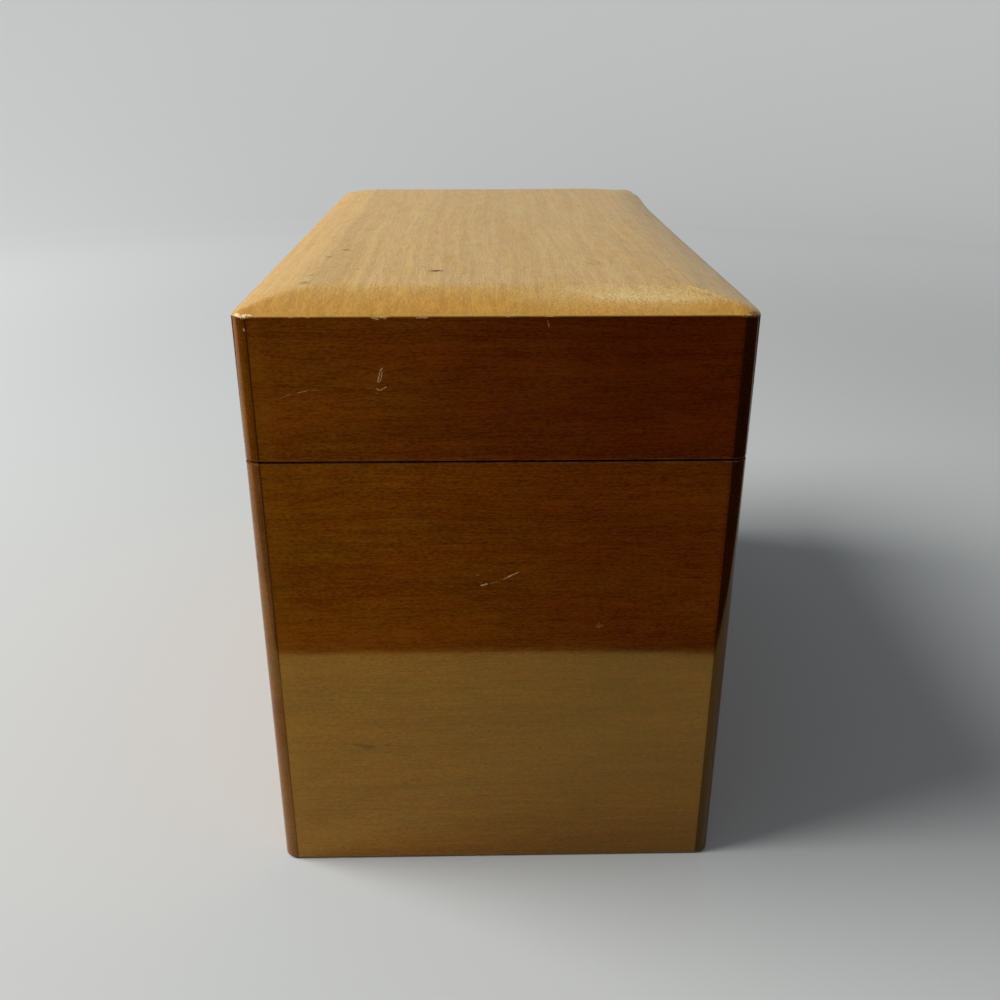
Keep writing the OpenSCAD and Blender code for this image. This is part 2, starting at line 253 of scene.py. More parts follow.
# Whether a point lies inside the block between two corners
def makeInsideGroup():
    group, given, result = newGroup(
        "insideBlock", {"Vector": None, "Low": None, "High": None, "Blur": 0.1}, ("Mask",),
    )
    depths = depthsInBlock(group, given)
    depth = calc(group, "MINIMUM", calc(group, "MINIMUM", depths[0], depths[1]), depths[2])
    outer = calc(group, "MULTIPLY", given["Blur"], -1.0)
    feed(group, result["Mask"], step(group, depth, outer, given["Blur"]))
    return group


# Rolled or drawn metal that has gone dull in clouds, with fine lines along X
def makeMetalGroup():
    group, given, result = newGroup(
        "agedMetal",
        {
            "Vector": None, "Bright": (0.8, 0.6, 0.25), "Dull": (0.4, 0.25, 0.08), "Dull Amount": 0.6,
            "Roughness": 0.3, "Line Amount": 0.5,
        },
        ("Color", "Roughness", "Height"),
    )
    point = given["Vector"]
    clouds = step(group, noiseOf(group, point, (0.35, 0.4, 0.4), 5.0, 0.65), 0.38, 0.66)
    specks = step(group, noiseOf(group, point, (3.0, 3.0, 3.0), 2.0, 0.6), 0.62, 0.72)
    lines = noiseOf(group, point, (0.3, 14.0, 14.0), 3.0, 0.6)
    dulled = calc(group, "MULTIPLY", calc(group, "MAXIMUM", clouds, specks), given["Dull Amount"])
    rough = calc(group, "SUBTRACT", lines, 0.5)
    rough = calc(group, "MULTIPLY_ADD", rough, given["Line Amount"], given["Roughness"])
    feedAll(group, result, {
        "Color": mixColor(group, dulled, given["Bright"], given["Dull"]),
        "Roughness": calc(group, "MULTIPLY_ADD", clouds, 0.15, rough, clamp=True),
        "Height": calc(group, "MULTIPLY", lines, given["Line Amount"]),
    })
    return group


grainGroup = makeGrainGroup()
varnishGroup = makeVarnishGroup()
edgeGroup = makeEdgeGroup()
markGroup = makeMarkGroup()
insideGroup = makeInsideGroup()
metalGroup = makeMetalGroup()
print("shader groups built")


# Starts a material and gives its tree, its shader and the place on the object in millimetres
def newMaterial(name):
    material = bpy.data.materials.new(name)
    material.use_nodes = True
    tree = material.node_tree
    shader = tree.nodes["Principled BSDF"]
    place = addNode(tree, "TexCoord", {}).outputs["Object"]
    return material, tree, shader, calcVector(tree, "MULTIPLY", place, (1 / mm, 1 / mm, 1 / mm))


def inMillimetres(corner):
    return tuple(value / mm for value in corner)


# Turns a place so that its X runs along an axis of the box
def turnedAlong(tree, place, axis):
    turn = (0, 0, math.pi / 2 if axis == "y" else 0)
    return addNode(
        tree, "VectorRotate", {"Vector": place, "Rotation": turn}, rotation_type="EULER_XYZ",
    ).outputs[0]


# The lid's top board
lidTop = {
    "bevelWidth": 10.4 * mm,
    "bevelFall": 2.8 * mm,
    "crown": 0.34 * mm,         # how far each bevel bulges
    "edgeDrop": 0.3 * mm,       # how far its outer edge is rounded down
    "edgeShare": 0.08,          # share of the bevel's width in which most of that drop lies
    "handWork": [               # uneven planing near the corners, in millimetres: x, y, reach, rise
        (41.5, 62, 11, 1.0),
        (41, 50, 25, 0.2),
        (41, 74.5, 5, 0.45),
        (33.5, 67.5, 5.5, -0.7),
        (41, -74.5, 2, -0.75),
        (-41, -74.5, 1.6, -0.2),
    ],
    "softFront": 0.12 * mm,     # how deep each ridge is rounded off
    "softBack": 0.8 * mm,
    "softRight": 0.45 * mm,
    "softLeft": 0.6 * mm,
    "cornerRadius": 2.5 * mm,
    "arris": 0.35 * mm,         # rounding of the outer edge
    "arrisSteps": 5,
    "closeRing": 0.05 * mm,     # a ring so far below the rounding keeps the upright edge shading as flat
    "overRails": 0.02 * mm,     # gap left above the rails
    "darkSlope": 0.3,           # steeper faces of that edge take the rails' dark colour, by the rise of their normal
    "darkCornerSlope": 0.55,    # the same at the corners over the hinges, where the dark reaches further up the rounding as painted shade
    "gridStep": 0.7 * mm,
    "wear": 0.06 * mm,
    "plugRound": 0.15 * mm,
    "weld": 0.001 * mm,         # points closer than this become one
    "chips": [                  # along the edge over the camera's end: middle, half width, depth
        (-17.8 * mm, 1.6 * mm, 0.16 * mm),
        (-11.5 * mm, 1.0 * mm, 0.10 * mm),
        (7.9 * mm, 0.6 * mm, 0.08 * mm),
        (-39.6 * mm, 1.6 * mm, 0.22 * mm),
    ],
}
footLevel = topHigh.z - lidTop["bevelFall"]


# The woods. Tints run across the box: from, to in millimetres, and what they multiply the colour by. Most tints
# are painted light and shade, as said at each
plainWood = {        # what a wood has unless it says otherwise
    "endMottle": 0.5, "acrossFrom": (0.1, 0.8), "endShade": (1.35, 0.7, 0.4), "joints": 0.0,
    "tints": [], "endTints": [],
}
woodLooks = {
    # The case's end boards are darker and redder than the top: partly their own varnish, partly painted shade on
    # the ends, which the lamp hardly reaches
    "endWoodCase": {
        "grainAlong": "x", "pale": (0.36, 0.113, 0.005), "dark": (0.18, 0.045, 0.002),
        "fleck": (0.06, 0.014, 0.001), "endGrain": (0.1, 0.022, 0.001), "deep": (0.75, 0.55, 0.5),
        "bands": 0.9, "lines": 0.7, "fibres": 1.7, "mottle": 2.0, "flecks": 0.04,
        "clouds": 0.5, "hues": 0.5, "dust": 0.1, "joints": 0.5,
        # Tints: redder and darker towards the right, partly tone and partly painted shade; painted shade at the
        # right edge by the joint; darker towards the left as painted shade, where the lit floor's reflection is
        # stronger
        "tints": [
            (-45, 20, (0.6, 0.445, 0.55)), (37.5, 38.4, (0.75, 0.6, 0.7)), (-8, -38, (0.88, 0.86, 0.9)),
        ],
        "gloss": 0.06, "smear": 0.03, "relief": 0.08, "ripple": 0.15, "swell": 12.0,
        "ior": 2.1, "sheenTint": (1.0, 0.72, 0.16), "wear": (0.3, 0.13, 0.03),
    },
    "sideWood": {
        "grainAlong": "y", "pale": (0.40, 0.145, 0.012), "dark": (0.23, 0.068, 0.005),
        "fleck": (0.06, 0.016, 0.001), "endGrain": (0.185, 0.07, 0.016), "deep": (0.75, 0.55, 0.5),
        "bands": 0.9, "lines": 0.6, "fibres": 1.2, "mottle": 1.8, "flecks": 0.12,
        "clouds": 0.6, "hues": 0.4, "dust": 0.2, "joints": 0.6,
        # painted shade: darker towards the right, on the side away from the lamp
        "tints": [(-30, 35, (0.6, 0.5, 0.6))],
        # Painted light and shade on the sawn ends: the right strip darkened as painted shade, its outermost edge
        # lightened as painted reflection, and the left strip's outermost edge darkened as a painted dark rim
        "endTints": [
            (-30, 35, (0.18, 0.12, 0.05)), (39.4, 40.9, (2.2, 2.6, 3.5)), (-40.2, -40.9, (0.45, 0.4, 0.35)),
        ],
        "gloss": 0.08, "smear": 0.05, "relief": 0.12, "ripple": 0.2, "swell": 12.0,
        "ior": 1.65, "sheenTint": (1.0, 0.55, 0.08), "wear": (0.35, 0.16, 0.04),
    },
    "topWood": {
        "grainAlong": "y", "pale": (0.585, 0.355, 0.082), "dark": (0.42, 0.225, 0.038),
        "fleck": (0.24, 0.105, 0.016), "endGrain": (0.5, 0.252, 0.042), "deep": (0.85, 0.72, 0.55),
        "bands": 0.45, "lines": 1.7, "fibres": 2.7, "mottle": 3.0, "endMottle": -0.75, "flecks": 0.3,
        "clouds": 0.1, "hues": 0.2, "dust": 0.3, "acrossFrom": (0.05, 0.3),
        "endShade": (1.2, 0.83, 0.5),
        # Tints: greyer towards the right bevel as painted shade, warmer and lighter on the left bevel as painted
        # light, and lighter over the left half of the top
        "tints": [
            (15, 38, (0.93, 0.93, 1.0)), (-31, -38, (1.05, 0.98, 0.76)), (0, -22, (1.09, 1.08, 1.04)),
        ],
        "gloss": 0.32, "smear": 0.08, "relief": 0.7, "ripple": 0.1, "swell": 0.0,
        "ior": 1.6, "sheenTint": (1.0, 0.85, 0.5), "wear": (0.6, 0.36, 0.11),
    },
    "baseWood": {
        "grainAlong": "y", "pale": (0.62, 0.42, 0.2), "dark": (0.48, 0.3, 0.12),
        "fleck": (0.28, 0.16, 0.06), "endGrain": (0.45, 0.28, 0.11), "deep": (0.85, 0.78, 0.65),
        "bands": 1.4, "lines": 0.9, "fibres": 1.4, "mottle": 1.0, "flecks": 0.4,
        "clouds": 0.4, "hues": 0.2, "dust": 0.3,
        "gloss": 0.35, "smear": 0.1, "relief": 0.4, "ripple": 0.4, "swell": 0.0,
        "ior": 1.5, "sheenTint": (1.0, 0.9, 0.75), "wear": (0.5, 0.35, 0.2),
    },
}
# A darker, redder copy of the case's end wood for the lid: partly darker varnish, partly painted shade under the
# lid's edge
woodLooks["endWoodLid"] = {
    **woodLooks["endWoodCase"], "pale": (0.29, 0.083, 0.005), "dark": (0.15, 0.033, 0.002),
    "fleck": (0.05, 0.011, 0.001), "deep": (0.7, 0.45, 0.45),
    # tints: redder and darker towards the right, partly tone and partly painted shade; painted shade at the right
    # edge by the joint
    "tints": [(-48, 30, (0.56, 0.33, 0.45)), (37.5, 38.4, (0.75, 0.6, 0.7))],
}
# The seam's arris: a darker, duller copy of the end wood; the darkness is painted shade along the seam
woodLooks["shadedSawnEdge"] = {
    **woodLooks["endWoodCase"], "pale": (0.16, 0.05, 0.003), "dark": (0.09, 0.024, 0.001),
    "endGrain": (0.06, 0.016, 0.001), "gloss": 0.5, "ior": 1.2,
}
woodLooks["lidSideWood"] = {
    **woodLooks["sideWood"], "endGrain": (0.16, 0.05, 0.004), "sheenTint": (1.0, 0.5, 0.04),
}
rawWood = {"pale": (0.62, 0.43, 0.21), "dark": (0.5, 0.31, 0.13), "fleck": (0.3, 0.17, 0.07)}
markTones = {
    "pale": (0.62, 0.36, 0.17), "dark": (0.045, 0.02, 0.002), "brown": (0.15, 0.062, 0.006),
    # the yellow glint tone on this line is painted highlight, not a colour of the wood
    "amber": (0.36, 0.16, 0.008), "shade": (0.07, 0.015, 0.001), "gold": (0.86, 0.78, 0.42),
    "cream": (0.95, 0.82, 0.55),
}
seamLevel = (caseHigh.z + railLow.z) / 2 / mm
glueGap = 0.1 * mm
jointPlace = (endHigh.x + glueGap / 2) / mm         # the middle of the glue lines on the end faces
rawReach = 0.2 * mm         # the wood inside the box was never varnished, so far into its walls
rawHalfWide = halfWide - boardThick + rawReach
rawHalfLong = halfLong - boardThick + rawReach

# What all the woods have in common, with widths in millimetres
woodFinish = {
    "wearWidth": 0.35,
    "wearRagged": 0.6,
    "wearStrength": 0.3,
    "dirt": (0.02, 0.006, 0.002),       # in the glued corner joints
    "dirtOut": 0.05,            # how far outside a joint's middle it lies
    "dirtFrom": 0.22,           # half its width where it begins and where it is full
    "dirtTo": 0.04,
    "insideFade": 0.8,          # share of its clouds and hues that the varnish loses inside the box
    "insideDulled": 0.4,        # roughness added inside the box and in marks
    "markDulled": 0.5,
    "bumpHeight": 0.02 * mm,
    "bumpStrength": 0.6,
}


# What the wood's colour is multiplied by as it turns redder, paler or darker across the box: partly its tone,
# mostly painted light and shade
def tintAcross(tree, across, changes):
    tint = addNode(tree, "RGB", {}).outputs[0]
    tint.default_value = (1, 1, 1, 1)
    for start, end, factors in changes:
        tint = mixColor(tree, step(tree, across, start, end), tint, factors, "MULTIPLY")
    return tint


# Grain in the tones of the board's face, of its sawn end or, inside the box, of raw wood
def grainOf(tree, look, lengthwise, sawnAcross, inner):
    tones = []
    for tone, shade in zip(("pale", "dark", "fleck"), look["endShade"]):
        endTone = tuple(v * shade for v in look["endGrain"])
        outside = mixColor(tree, sawnAcross, look[tone], endTone)
        tones.append(mixColor(tree, inner, outside, rawWood[tone]))
    mottle = calc(tree, "MULTIPLY_ADD", sawnAcross, look["endMottle"] * look["mottle"], look["mottle"])
    return useGroup(
        tree, grainGroup, vector=lengthwise, pale=tones[0], dark=tones[1], fleckColor=tones[2],
        bandAmount=look["bands"], lineAmount=look["lines"], fibreAmount=look["fibres"],
        mottleAmount=mottle, fleckAmount=look["flecks"],
    )


# Old varnish over a colour, with fainter clouds inside the box
def varnishOver(tree, look, lengthwise, inner, color):
    clouds, hues = (
        calc(tree, "MULTIPLY_ADD", inner, -woodFinish["insideFade"] * look[name], look[name])
        for name in ("clouds", "hues")
    )
    return useGroup(
        tree, varnishGroup, vector=lengthwise, color=color, deep=look["deep"],
        cloudAmount=clouds, hueAmount=hues, dustAmount=look["dust"],
        gloss=look["gloss"], smear=look["smear"], ripple=look["ripple"], swell=look["swell"],
    )


# Where the lines of the glued corner joints are dirty
def jointLines(tree, across, strength):
    off = calc(tree, "SUBTRACT", calc(tree, "ABSOLUTE", across), jointPlace)
    off = calc(tree, "ABSOLUTE", calc(tree, "SUBTRACT", off, woodFinish["dirtOut"]))
    return step(tree, off, woodFinish["dirtFrom"], woodFinish["dirtTo"], 0.0, strength)


# Adds marks to a colour and cuts the deep ones into the height. Also gives where they take the gloss away
def withMarks(tree, place, color, height, marks):
    dulled = 0.0
    for start, end, width, tone, strength in marks:
        mark = useGroup(tree, markGroup, vector=place, start=start, end=end, width=width, ragged=1.0)["Mask"]
        # a painted glint is broken into bright specks
        if tone == "gold":
            speckle = step(tree, noiseOf(tree, place, (2.4, 1.8, 2.4), 3.0, 0.8), 0.38, 0.66, 0.35, 1.0)
            mark = calc(tree, "MULTIPLY", mark, speckle)
        mark = calc(tree, "MULTIPLY", mark, strength)
        color = mixColor(tree, mark, color, markTones[tone])
        if tone in ("pale", "dark", "cream"):
            height = calc(tree, "SUBTRACT", height, mark)
            dulled = calc(tree, "MAXIMUM", dulled, mark)
    return color, height, dulled


# Adds stains in the shape of a ring: middle, radius, squeeze along Y, width, strength
def withRings(tree, place, color, rings):
    for middle, radius, squeeze, width, strength in rings:
        away = calcVector(tree, "MULTIPLY", calcVector(tree, "SUBTRACT", place, middle), (1, squeeze, 0))
        away = calcVector(tree, "LENGTH", away, out="Value")
        off = calc(tree, "ABSOLUTE", calc(tree, "SUBTRACT", away, radius))
        stray = calc(tree, "MULTIPLY", noiseOf(tree, place, (0.9, 0.9, 0.9), 3.0), width * 1.5)
        off = calc(tree, "ADD", off, stray)
        ring = step(tree, off, width * 1.5, width * 0.5, 0.0, strength)
        color = mixColor(tree, ring, color, markTones["brown"])
    return color


def woodMaterial(name, look, edgeLow, edgeHigh, marks=(), rings=()):
    look = {**plainWood, **look}
    material, tree, shader, place = newMaterial(name)
    lengthwise = turnedAlong(tree, place, look["grainAlong"])
    normal = addNode(tree, "SeparateXYZ", {"Vector": addNode(tree, "TexCoord", {}).outputs["Normal"]})
    facing = calc(tree, "ABSOLUTE", normal.outputs["xy".index(look["grainAlong"])])
    sawnAcross = step(tree, facing, *look["acrossFrom"])
    inner = useGroup(
        tree, insideGroup, vector=place,
        low=inMillimetres((-rawHalfWide, -rawHalfLong, -mm)),
        high=inMillimetres((rawHalfWide, rawHalfLong, railHigh.z)),
    )["Mask"]
    outer = calc(tree, "SUBTRACT", 1.0, inner)
    across = addNode(tree, "SeparateXYZ", {"Vector": place}).outputs[0]
    grain = grainOf(tree, look, lengthwise, sawnAcross, inner)
    tint = mixColor(
        tree, sawnAcross, tintAcross(tree, across, look["tints"]), tintAcross(tree, across, look["endTints"]),
    )
    tinted = mixColor(tree, outer, grain["Color"], tint, "MULTIPLY")
    varnish = varnishOver(tree, look, lengthwise, inner, tinted)
    color = varnish["Color"]
    height = calc(tree, "MULTIPLY_ADD", grain["Height"], look["relief"], varnish["Height"])
    worn = useGroup(
        tree, edgeGroup, vector=place, low=edgeLow, high=edgeHigh,
        width=woodFinish["wearWidth"], ragged=woodFinish["wearRagged"],
    )["Mask"]
    color = mixColor(tree, calc(tree, "MULTIPLY", worn, woodFinish["wearStrength"]), color, look["wear"])
    dirty = calc(tree, "MULTIPLY", jointLines(tree, across, look["joints"]), outer)
    color = mixColor(tree, dirty, color, woodFinish["dirt"])
    color, height, dulled = withMarks(tree, place, color, height, marks)
    color = withRings(tree, place, color, rings)
    rough = calc(tree, "MULTIPLY_ADD", inner, woodFinish["insideDulled"], varnish["Roughness"])
    rough = calc(tree, "MULTIPLY_ADD", dulled, woodFinish["markDulled"], rough)
    relief = {"Height": height, "Distance": woodFinish["bumpHeight"], "Strength": woodFinish["bumpStrength"]}
    feedAll(tree, shader.inputs, {
        "Base Color": color, "Roughness": rough, "Normal": addNode(tree, "Bump", relief).outputs[0],
        "IOR": look["ior"], "Specular Tint": look["sheenTint"],
    })
    return material


# Corners of the block whose edges wear: the box's outline between two levels
def blockEdges(low, high):
    return {
        "edgeLow": inMillimetres((-halfWide, -halfLong, low)),
        "edgeHigh": inMillimetres((halfWide, halfLong, high)),
    }


caseEdges = blockEdges(0, caseHigh.z)
lidEdges = blockEdges(railLow.z, footLevel)
railEdges = blockEdges(railLow.z, topHigh.z)        # the rails' wood goes on up into the top board's edge
endFace = -halfLong / mm
unit = 2 * halfWide / mm / 100      # marks were measured in hundredths of the end's width


# Marks are given in millimetres on the box: start, end, width, tone, strength.
# This one is on the end towards the camera, from its place in hundredths of the width
def onEnd(x1, z1, x2, z2, width, tone, strength):
    return (x1 * unit, endFace, z1 * unit), (x2 * unit, endFace, z2 * unit), width, tone, strength


# The same on the flat of the lid
def onLid(x1, y1, x2, y2, width, tone, strength):
    high = topHigh.z / mm
    return (x1 * unit, y1 * unit, high), (x2 * unit, y2 * unit, high), width, tone, strength


caseEndMarks = [onEnd(*mark) for mark in (
    (-4.5, 74.6, -3.6, 75.1, 0.10, "pale", 0.35),
    (-3.5, 72.4, -1.9, 72.8, 0.17, "pale", 0.85),
    (-1.6, 72.8, 0.6, 73.4, 0.07, "pale", 0.4),
    (1.2, 73.8, 4.5, 75.5, 0.12, "pale", 0.8),
    (-34.8, 32.6, -31.8, 32.5, 0.3, "shade", 0.5),
    (-32.2, 32.5, -29.9, 32.2, 0.42, "shade", 1.0),
    (-30.4, 32.1, -27.4, 31.7, 0.42, "dark", 0.8),
    (-29.9, 31.5, -28.4, 31.3, 0.5, "shade", 0.7),
    (-25.6, 32.2, -23.5, 32.3, 0.38, "shade", 1.0),
    (-23.4, 32.2, -18.6, 31.9, 0.5, "shade", 0.35),
    (21.4, 62.4, 21.9, 62.4, 0.55, "dark", 0.6),
    (-21.3, 21.3, -20.8, 21.5, 0.45, "dark", 0.8),
    (-19.8, 22.2, -17.4, 22.8, 0.5, "dark", 0.4),
    (-45.2, 2, -45.2, 98, 2.4, "amber", 0.14),
    (22, 52, 34, 40, 2.2, "shade", 0.16),
)]
caseCornerMarks = [
    ((-40.9, -73.1, 64.6), (-40.2, -73.8, 64.2), 0.3, "dark", 1.0),
    ((-40.1, -73.9, 64.1), (-38.4, -74.5, 62.4), 0.16, "dark", 0.7),
    ((-39.3, -74.35, 20.0), (-39.1, -74.4, 19.7), 0.34, "dark", 0.9),
    ((-40.6, -73.5, 33), (-38.6, -74.5, 36), 2.4, "shade", 0.35),
]
lidEndMarks = [onEnd(*mark) for mark in (
    (-21.8, 119.2, -22.3, 118.4, 0.12, "pale", 0.8),
    (-22.2, 118.9, -22.8, 116.5, 0.10, "pale", 0.85),
    (-21.9, 118.7, -22.1, 117.2, 0.09, "pale", 0.7),
    (-22.1, 117.2, -22.5, 116.3, 0.09, "pale", 0.65),
    (-22.8, 116.6, -22.4, 116.3, 0.13, "pale", 0.8),
    (-23.1, 115.2, -22.6, 114.8, 0.11, "pale", 0.6),
    (-22.7, 114.8, -21.8, 115.1, 0.09, "pale", 0.55),
    (-21.8, 115.1, -21.2, 115.5, 0.10, "pale", 0.65),
    (-23.4, 114.3, -22.8, 114.1, 0.10, "pale", 0.35),
    (-41.6, 113.4, -39.3, 114.2, 0.07, "pale", 0.4),
    (-38.4, 114.3, -36.2, 114.8, 0.08, "pale", 0.5),
    (-35.6, 114.8, -34.1, 114.8, 0.06, "pale", 0.3),
    (9.4, 128.2, 9.7, 126.8, 0.12, "pale", 0.3),
    (-45.2, 101, -45.2, 127, 2.2, "amber", 0.16),
    (-12, 106, -3, 105.6, 0.9, "shade", 0.25),
    (6, 110, 24, 109, 1.4, "shade", 0.22),
)]
foot = 128.8        # hundredths of the width up to the rounding of the lid's edge
edgeMarks = [       # where the lid's edge is chipped, in every wood that meets there; the last one is a painted glint
    onEnd(-23.4, foot, -21.8, foot - 0.3, 0.13, "pale", 0.8),
    onEnd(-21.8, foot + 0.1, -20.6, foot - 0.1, 0.12, "pale", 0.7),
    onEnd(-15.0, foot, -13.0, foot, 0.11, "pale", 0.7),
    ((-39.0, -74.3, 105.7), (-38.2, -74.0, 106.0), 0.3, "cream", 0.95),
    ((-38.2, -74.0, 106.0), (-37.3, -74.2, 105.9), 0.24, "cream", 0.8),
    # painted glint on the lid's left strip, not a chip
    onEnd(-47.3, 126.8, -47.1, 126.5, 0.2, "pale", 0.8),
]
lidEndMarks += edgeMarks
lidTopMarks = edgeMarks + [onLid(*mark) for mark in (
    (-13.0, -64.6, -11.4, -64.6, 0.9, "dark", 1.0),
    (-13.6, -65.2, -12.4, -65.6, 0.5, "brown", 0.8),
    (4.4, 12.6, 5.0, 12.6, 0.6, "brown", 0.8),
    (-32.4, -8.4, -30.4, -8.6, 0.9, "brown", 0.4),
    (-6.1, -33.3, -2.8, -32.9, 1.0, "brown", 0.25),
    (-15.2, -13.1, -12.6, -13.2, 0.8, "brown", 0.18),
    (-14.5, -46.2, -13.4, -46, 0.5, "brown", 0.5),
    (-15.5, -59.8, -14.7, -60, 0.5, "brown", 0.5),
    (-6.7, -67.3, -6.2, -67.4, 0.6, "brown", 0.6),
    (-34.6, -39.2, -33.2, -39.2, 0.7, "dark", 0.7),
    (-36.9, -48.0, -36.5, -48.3, 0.7, "dark", 0.7),
    (-38.1, -60.6, -37.5, -60.5, 0.6, "brown", 0.9),
    (-38.2, -69.5, -37.2, -68.0, 0.6, "brown", 0.7),
    (-38.7, -75.9, -37.1, -75.6, 0.9, "brown", 0.9),
    (-38.0, -77.6, -36.9, -77.0, 0.7, "brown", 0.5),
    (-35.4, -25.3, -34.8, -25.3, 0.7, "brown", 0.5),
    (-28.9, -62.7, -28.6, -62.8, 0.5, "dark", 0.6),
    (-37.2, 2, -36.5, 2, 0.8, "brown", 0.4),
    (38.1, -49.4, 38.4, -56.6, 0.16, "brown", 0.7),
    (34.0, -69.7, 36.6, -76.9, 0.16, "brown", 0.7),
    (44.9, -66.7, 45.6, -72.0, 0.16, "brown", 0.6),
    (24.0, -64.3, 26.8, -46.7, 0.12, "brown", 0.35),
)] + [
    # Painted highlight: glints over the right part of the front bevel and a bright line along its right hip
    ((5, -68.5, 107.6), (34, -69.5, 107.4), 5.2, "gold", 0.2),
    ((12, -67.2, 108), (30, -67.6, 107.9), 3.6, "gold", 0.22),
    ((16, -69.4, 107.4), (33, -70, 107.2), 2.0, "gold", 0.32),
    ((31.1, -65.4, 108.3), (37, -71.5, 106.7), 0.7, "gold", 0.4),
    # Painted shade over the near right corner of the lid's edge
    ((39.2, -74.6, 105.3), (41.1, -72.6, 105.4), 1.2, "shade", 1.0),
    # Painted glints: small bright specks on the front bevel
    ((24.6, -69.2, 107.2), (25.5, -69.0, 107.3), 0.4, "gold", 0.8),
    ((28.1, -69.6, 107.1), (29.1, -69.3, 107.2), 0.45, "gold", 0.8),
    ((16.0, -69.8, 107.1), (16.6, -69.6, 107.2), 0.35, "gold", 0.7),
    ((22.6, -66.0, 108.1), (23.4, -65.5, 108.2), 0.4, "gold", 0.6),
    ((33.9, -70.3, 107.0), (34.6, -70.0, 107.1), 0.35, "gold", 0.7),
]
lidTopRings = [((21.4 * unit, -55.2 * unit, topHigh.z / mm), 1.15, 0.5, 0.2, 0.8)]

endWoodCase = woodMaterial("endWoodCase", woodLooks["endWoodCase"], **caseEdges, marks=caseEndMarks)
endWoodLid = woodMaterial("endWoodLid", woodLooks["endWoodLid"], **railEdges, marks=lidEndMarks)
sideWoodCase = woodMaterial("sideWoodCase", woodLooks["sideWood"], **caseEdges, marks=caseCornerMarks)
sideWoodLid = woodMaterial("sideWoodLid", woodLooks["lidSideWood"], **railEdges, marks=edgeMarks)
shadedSawnEdge = woodMaterial("shadedSawnEdge", woodLooks["shadedSawnEdge"], **caseEdges)
topWood = woodMaterial("topWood", woodLooks["topWood"], **lidEdges, marks=lidTopMarks, rings=lidTopRings)
baseWood = woodMaterial("baseWood", woodLooks["baseWood"], **caseEdges)
print("wood materials built")


def metalMaterial(name, look):
    material, tree, shader, place = newMaterial(name)
    metal = useGroup(
        tree, metalGroup, vector=turnedAlong(tree, place, look["linesAlong"]),
        bright=look["bright"], dull=look["dull"], dullAmount=look["dullness"],
        roughness=look["rough"], lineAmount=look["lines"],
    )
    bump = addNode(tree, "Bump", {"Height": metal["Height"], "Distance": 0.01 * mm, "Strength": 0.5})
    feedAll(tree, shader.inputs, {
        "Base Color": metal["Color"], "Roughness": metal["Roughness"], "Normal": bump.outputs[0],
        "Metallic": 1.0,
    })
    return material


metalLooks = {
    "leafBrass": {
        "bright": (0.78, 0.55, 0.22), "dull": (0.36, 0.22, 0.08),
        "dullness": 0.7, "rough": 0.3, "lines": 0.3, "linesAlong": "y",
    },
    "pinBrass": {
        "bright": (0.74, 0.52, 0.22), "dull": (0.3, 0.18, 0.07),
        "dullness": 0.8, "rough": 0.28, "lines": 0.2, "linesAlong": "y",
    },
    "screwBrass": {
        "bright": (0.82, 0.6, 0.26), "dull": (0.38, 0.24, 0.1),
        "dullness": 0.7, "rough": 0.26, "lines": 0.2, "linesAlong": "x",
    },
    "bradSteel": {
        "bright": (0.5, 0.49, 0.47), "dull": (0.16, 0.11, 0.08),
        "dullness": 0.8, "rough": 0.4, "lines": 0.2, "linesAlong": "x",
    },
}
leafBrass, pinBrass, screwBrass, bradSteel = (metalMaterial(name, look) for name, look in metalLooks.items())
print("metal materials built")


# Makes an object. A mesh also gets its material and smooth faces
def newObject(name, data, material=None):
    made = bpy.data.objects.new(name, data)
    bpy.context.scene.collection.objects.link(made)
    if material:
        data.materials.append(material)
        for face in data.polygons:
            face.use_smooth = True
    return made


# Puts a finished mesh on its body, in place of a node of the frame
def addPiece(name, mesh, material, body, node):
    piece = newObject(name, mesh, material)
    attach(piece, body)
    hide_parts(node)
    evener = piece.modifiers.new("evenNormals", "WEIGHTED_NORMAL")
    evener.keep_sharp = True
    return piece


# Boards and fittings keep the shape of their node and get rounded, slightly worn edges
edgeFinish = {
    "weld": 0.002 * mm,         # points closer than this become one
    "flatAngle": 0.4,           # degrees between faces that become one
    "sharpAngle": 25,           # degrees between faces that count as an edge
    "shadeAngle": 50,           # degrees above which shading breaks at an edge
    "shortEdge": 0.6 * mm,      # edges of drilled holes are shorter than this and stay
    "cut": 2.5 * mm,            # a long edge gets a point this often, for its wear
    "roundSteps": 2,
    "bigFace": 6 * mm * mm,     # faces above this size stay flat
    "cornerZone": 3 * mm,       # reach of the box's round upright corners
    "glueReach": 0.1,           # millimetres from the middle of a glue line to beyond the boards' edges
    "glueDepth": 0.1 * mm,      # how far below the surface those edges may lie
    "glueLeft": 0.003,          # millimetres from that middle to each board once the line is closed
    "glueLevel": 0.02 * mm,     # reach of the glue line under the top board
    "sawnReach": 0.42,          # millimetres from the middle of the saw cut that its arris takes up
    "sawnDepth": 0.3 * mm,
    "sawnTilt": 0.15,           # least rise of the normal of its faces
}


def inCornerZone(point):
    reach = edgeFinish["cornerZone"]
    return abs(point.x) > halfWide - reach and abs(point.y) > halfLong - reach


# How far a point lies in from the box's outline, which has round corners
def insetOf(point):
    radius = lidTop["cornerRadius"]
    overX = abs(point.x) - halfWide + radius
    overY = abs(point.y) - halfLong + radius
    if overX > 0 and overY > 0:
        return radius - math.hypot(overX, overY)
    return radius - max(overX, overY)


# The glued corner joints were sanded flush and varnished over, so they close at the surface
def atCornerJoint(point):
    beside = abs(abs(point.x) / mm - jointPlace) < edgeFinish["glueReach"]
    return beside and abs(point.y) > halfLong - edgeFinish["glueDepth"]


